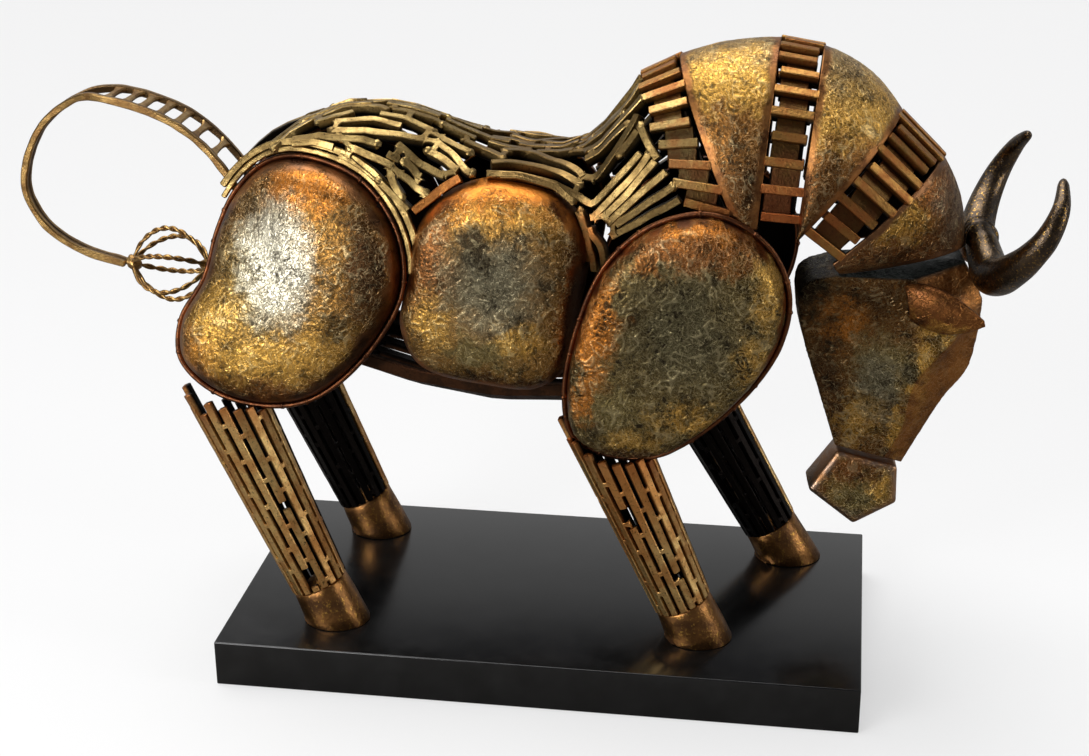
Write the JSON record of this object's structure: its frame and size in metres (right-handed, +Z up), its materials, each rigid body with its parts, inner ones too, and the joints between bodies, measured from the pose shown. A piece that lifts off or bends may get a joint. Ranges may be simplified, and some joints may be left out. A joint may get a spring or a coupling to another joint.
{
  "type": "metal bull sculpture",
  "caption": "Standing bull with lowered head and looped tail, welded from bulging sheet plates and rows of short bars in gold and copper patina, on a flat black rectangular plinth.",
  "frame": {"origin": "middle of the plinth's underside", "axes": "+X towards the bull's head along the plinth, +Y towards the bull's left side (far in the picture), +Z up"},
  "size_m": [0.6386, 0.207, 0.3974],
  "materials": {
    "plinth_lacquer": "satin black lacquer on board, a few chips along the front edge",
    "plate_patina": "crinkled foil-like skin under gold, copper and dark brown patina",
    "copper_patina": "smooth copper-brown patina with gold on the edges",
    "bar_patina": "pale antique gold on the outer faces, black in the gaps",
    "horn_patina": "dark brown-black polished patina with gold and grey streaks"
  },
  "bodies": {
    "root": {"haunch_plate_near": "plate_patina", "haunch_rim_near": "copper_patina", "belly_plate_near": "plate_patina", "shoulder_plate_near": "plate_patina", "shoulder_rim_near": "copper_patina", "haunch_plate_far": "plate_patina", "haunch_rim_far": "copper_patina", "belly_plate_far": "plate_patina", "shoulder_plate_far": "plate_patina", "shoulder_rim_far": "copper_patina", "rear_hoof_near": "copper_patina", "rear_leg_near": "bar_patina", "rear_hoof_far": "copper_patina", "rear_leg_far": "bar_patina", "front_hoof_near": "copper_patina", "front_leg_near": "bar_patina", "front_hoof_far": "copper_patina", "front_leg_far": "bar_patina", "back_lattice": "bar_patina", "underside_lattice": "bar_patina", "hump_band_rear": "copper_patina", "hump_band_middle": "copper_patina", "hump_band_front": "copper_patina", "hump_plate_rear": "plate_patina", "hump_plate_front": "plate_patina", "nape_plate": "plate_patina", "head": "plate_patina", "muzzle": "plate_patina", "ear_near": "copper_patina", "horn_near": "horn_patina", "ear_far": "copper_patina", "horn_far": "horn_patina", "horn_collar": "horn_patina", "tail": "bar_patina", "tail_tassel": "bar_patina", "plinth": "plinth_lacquer"}
  },
  "joints": []
}
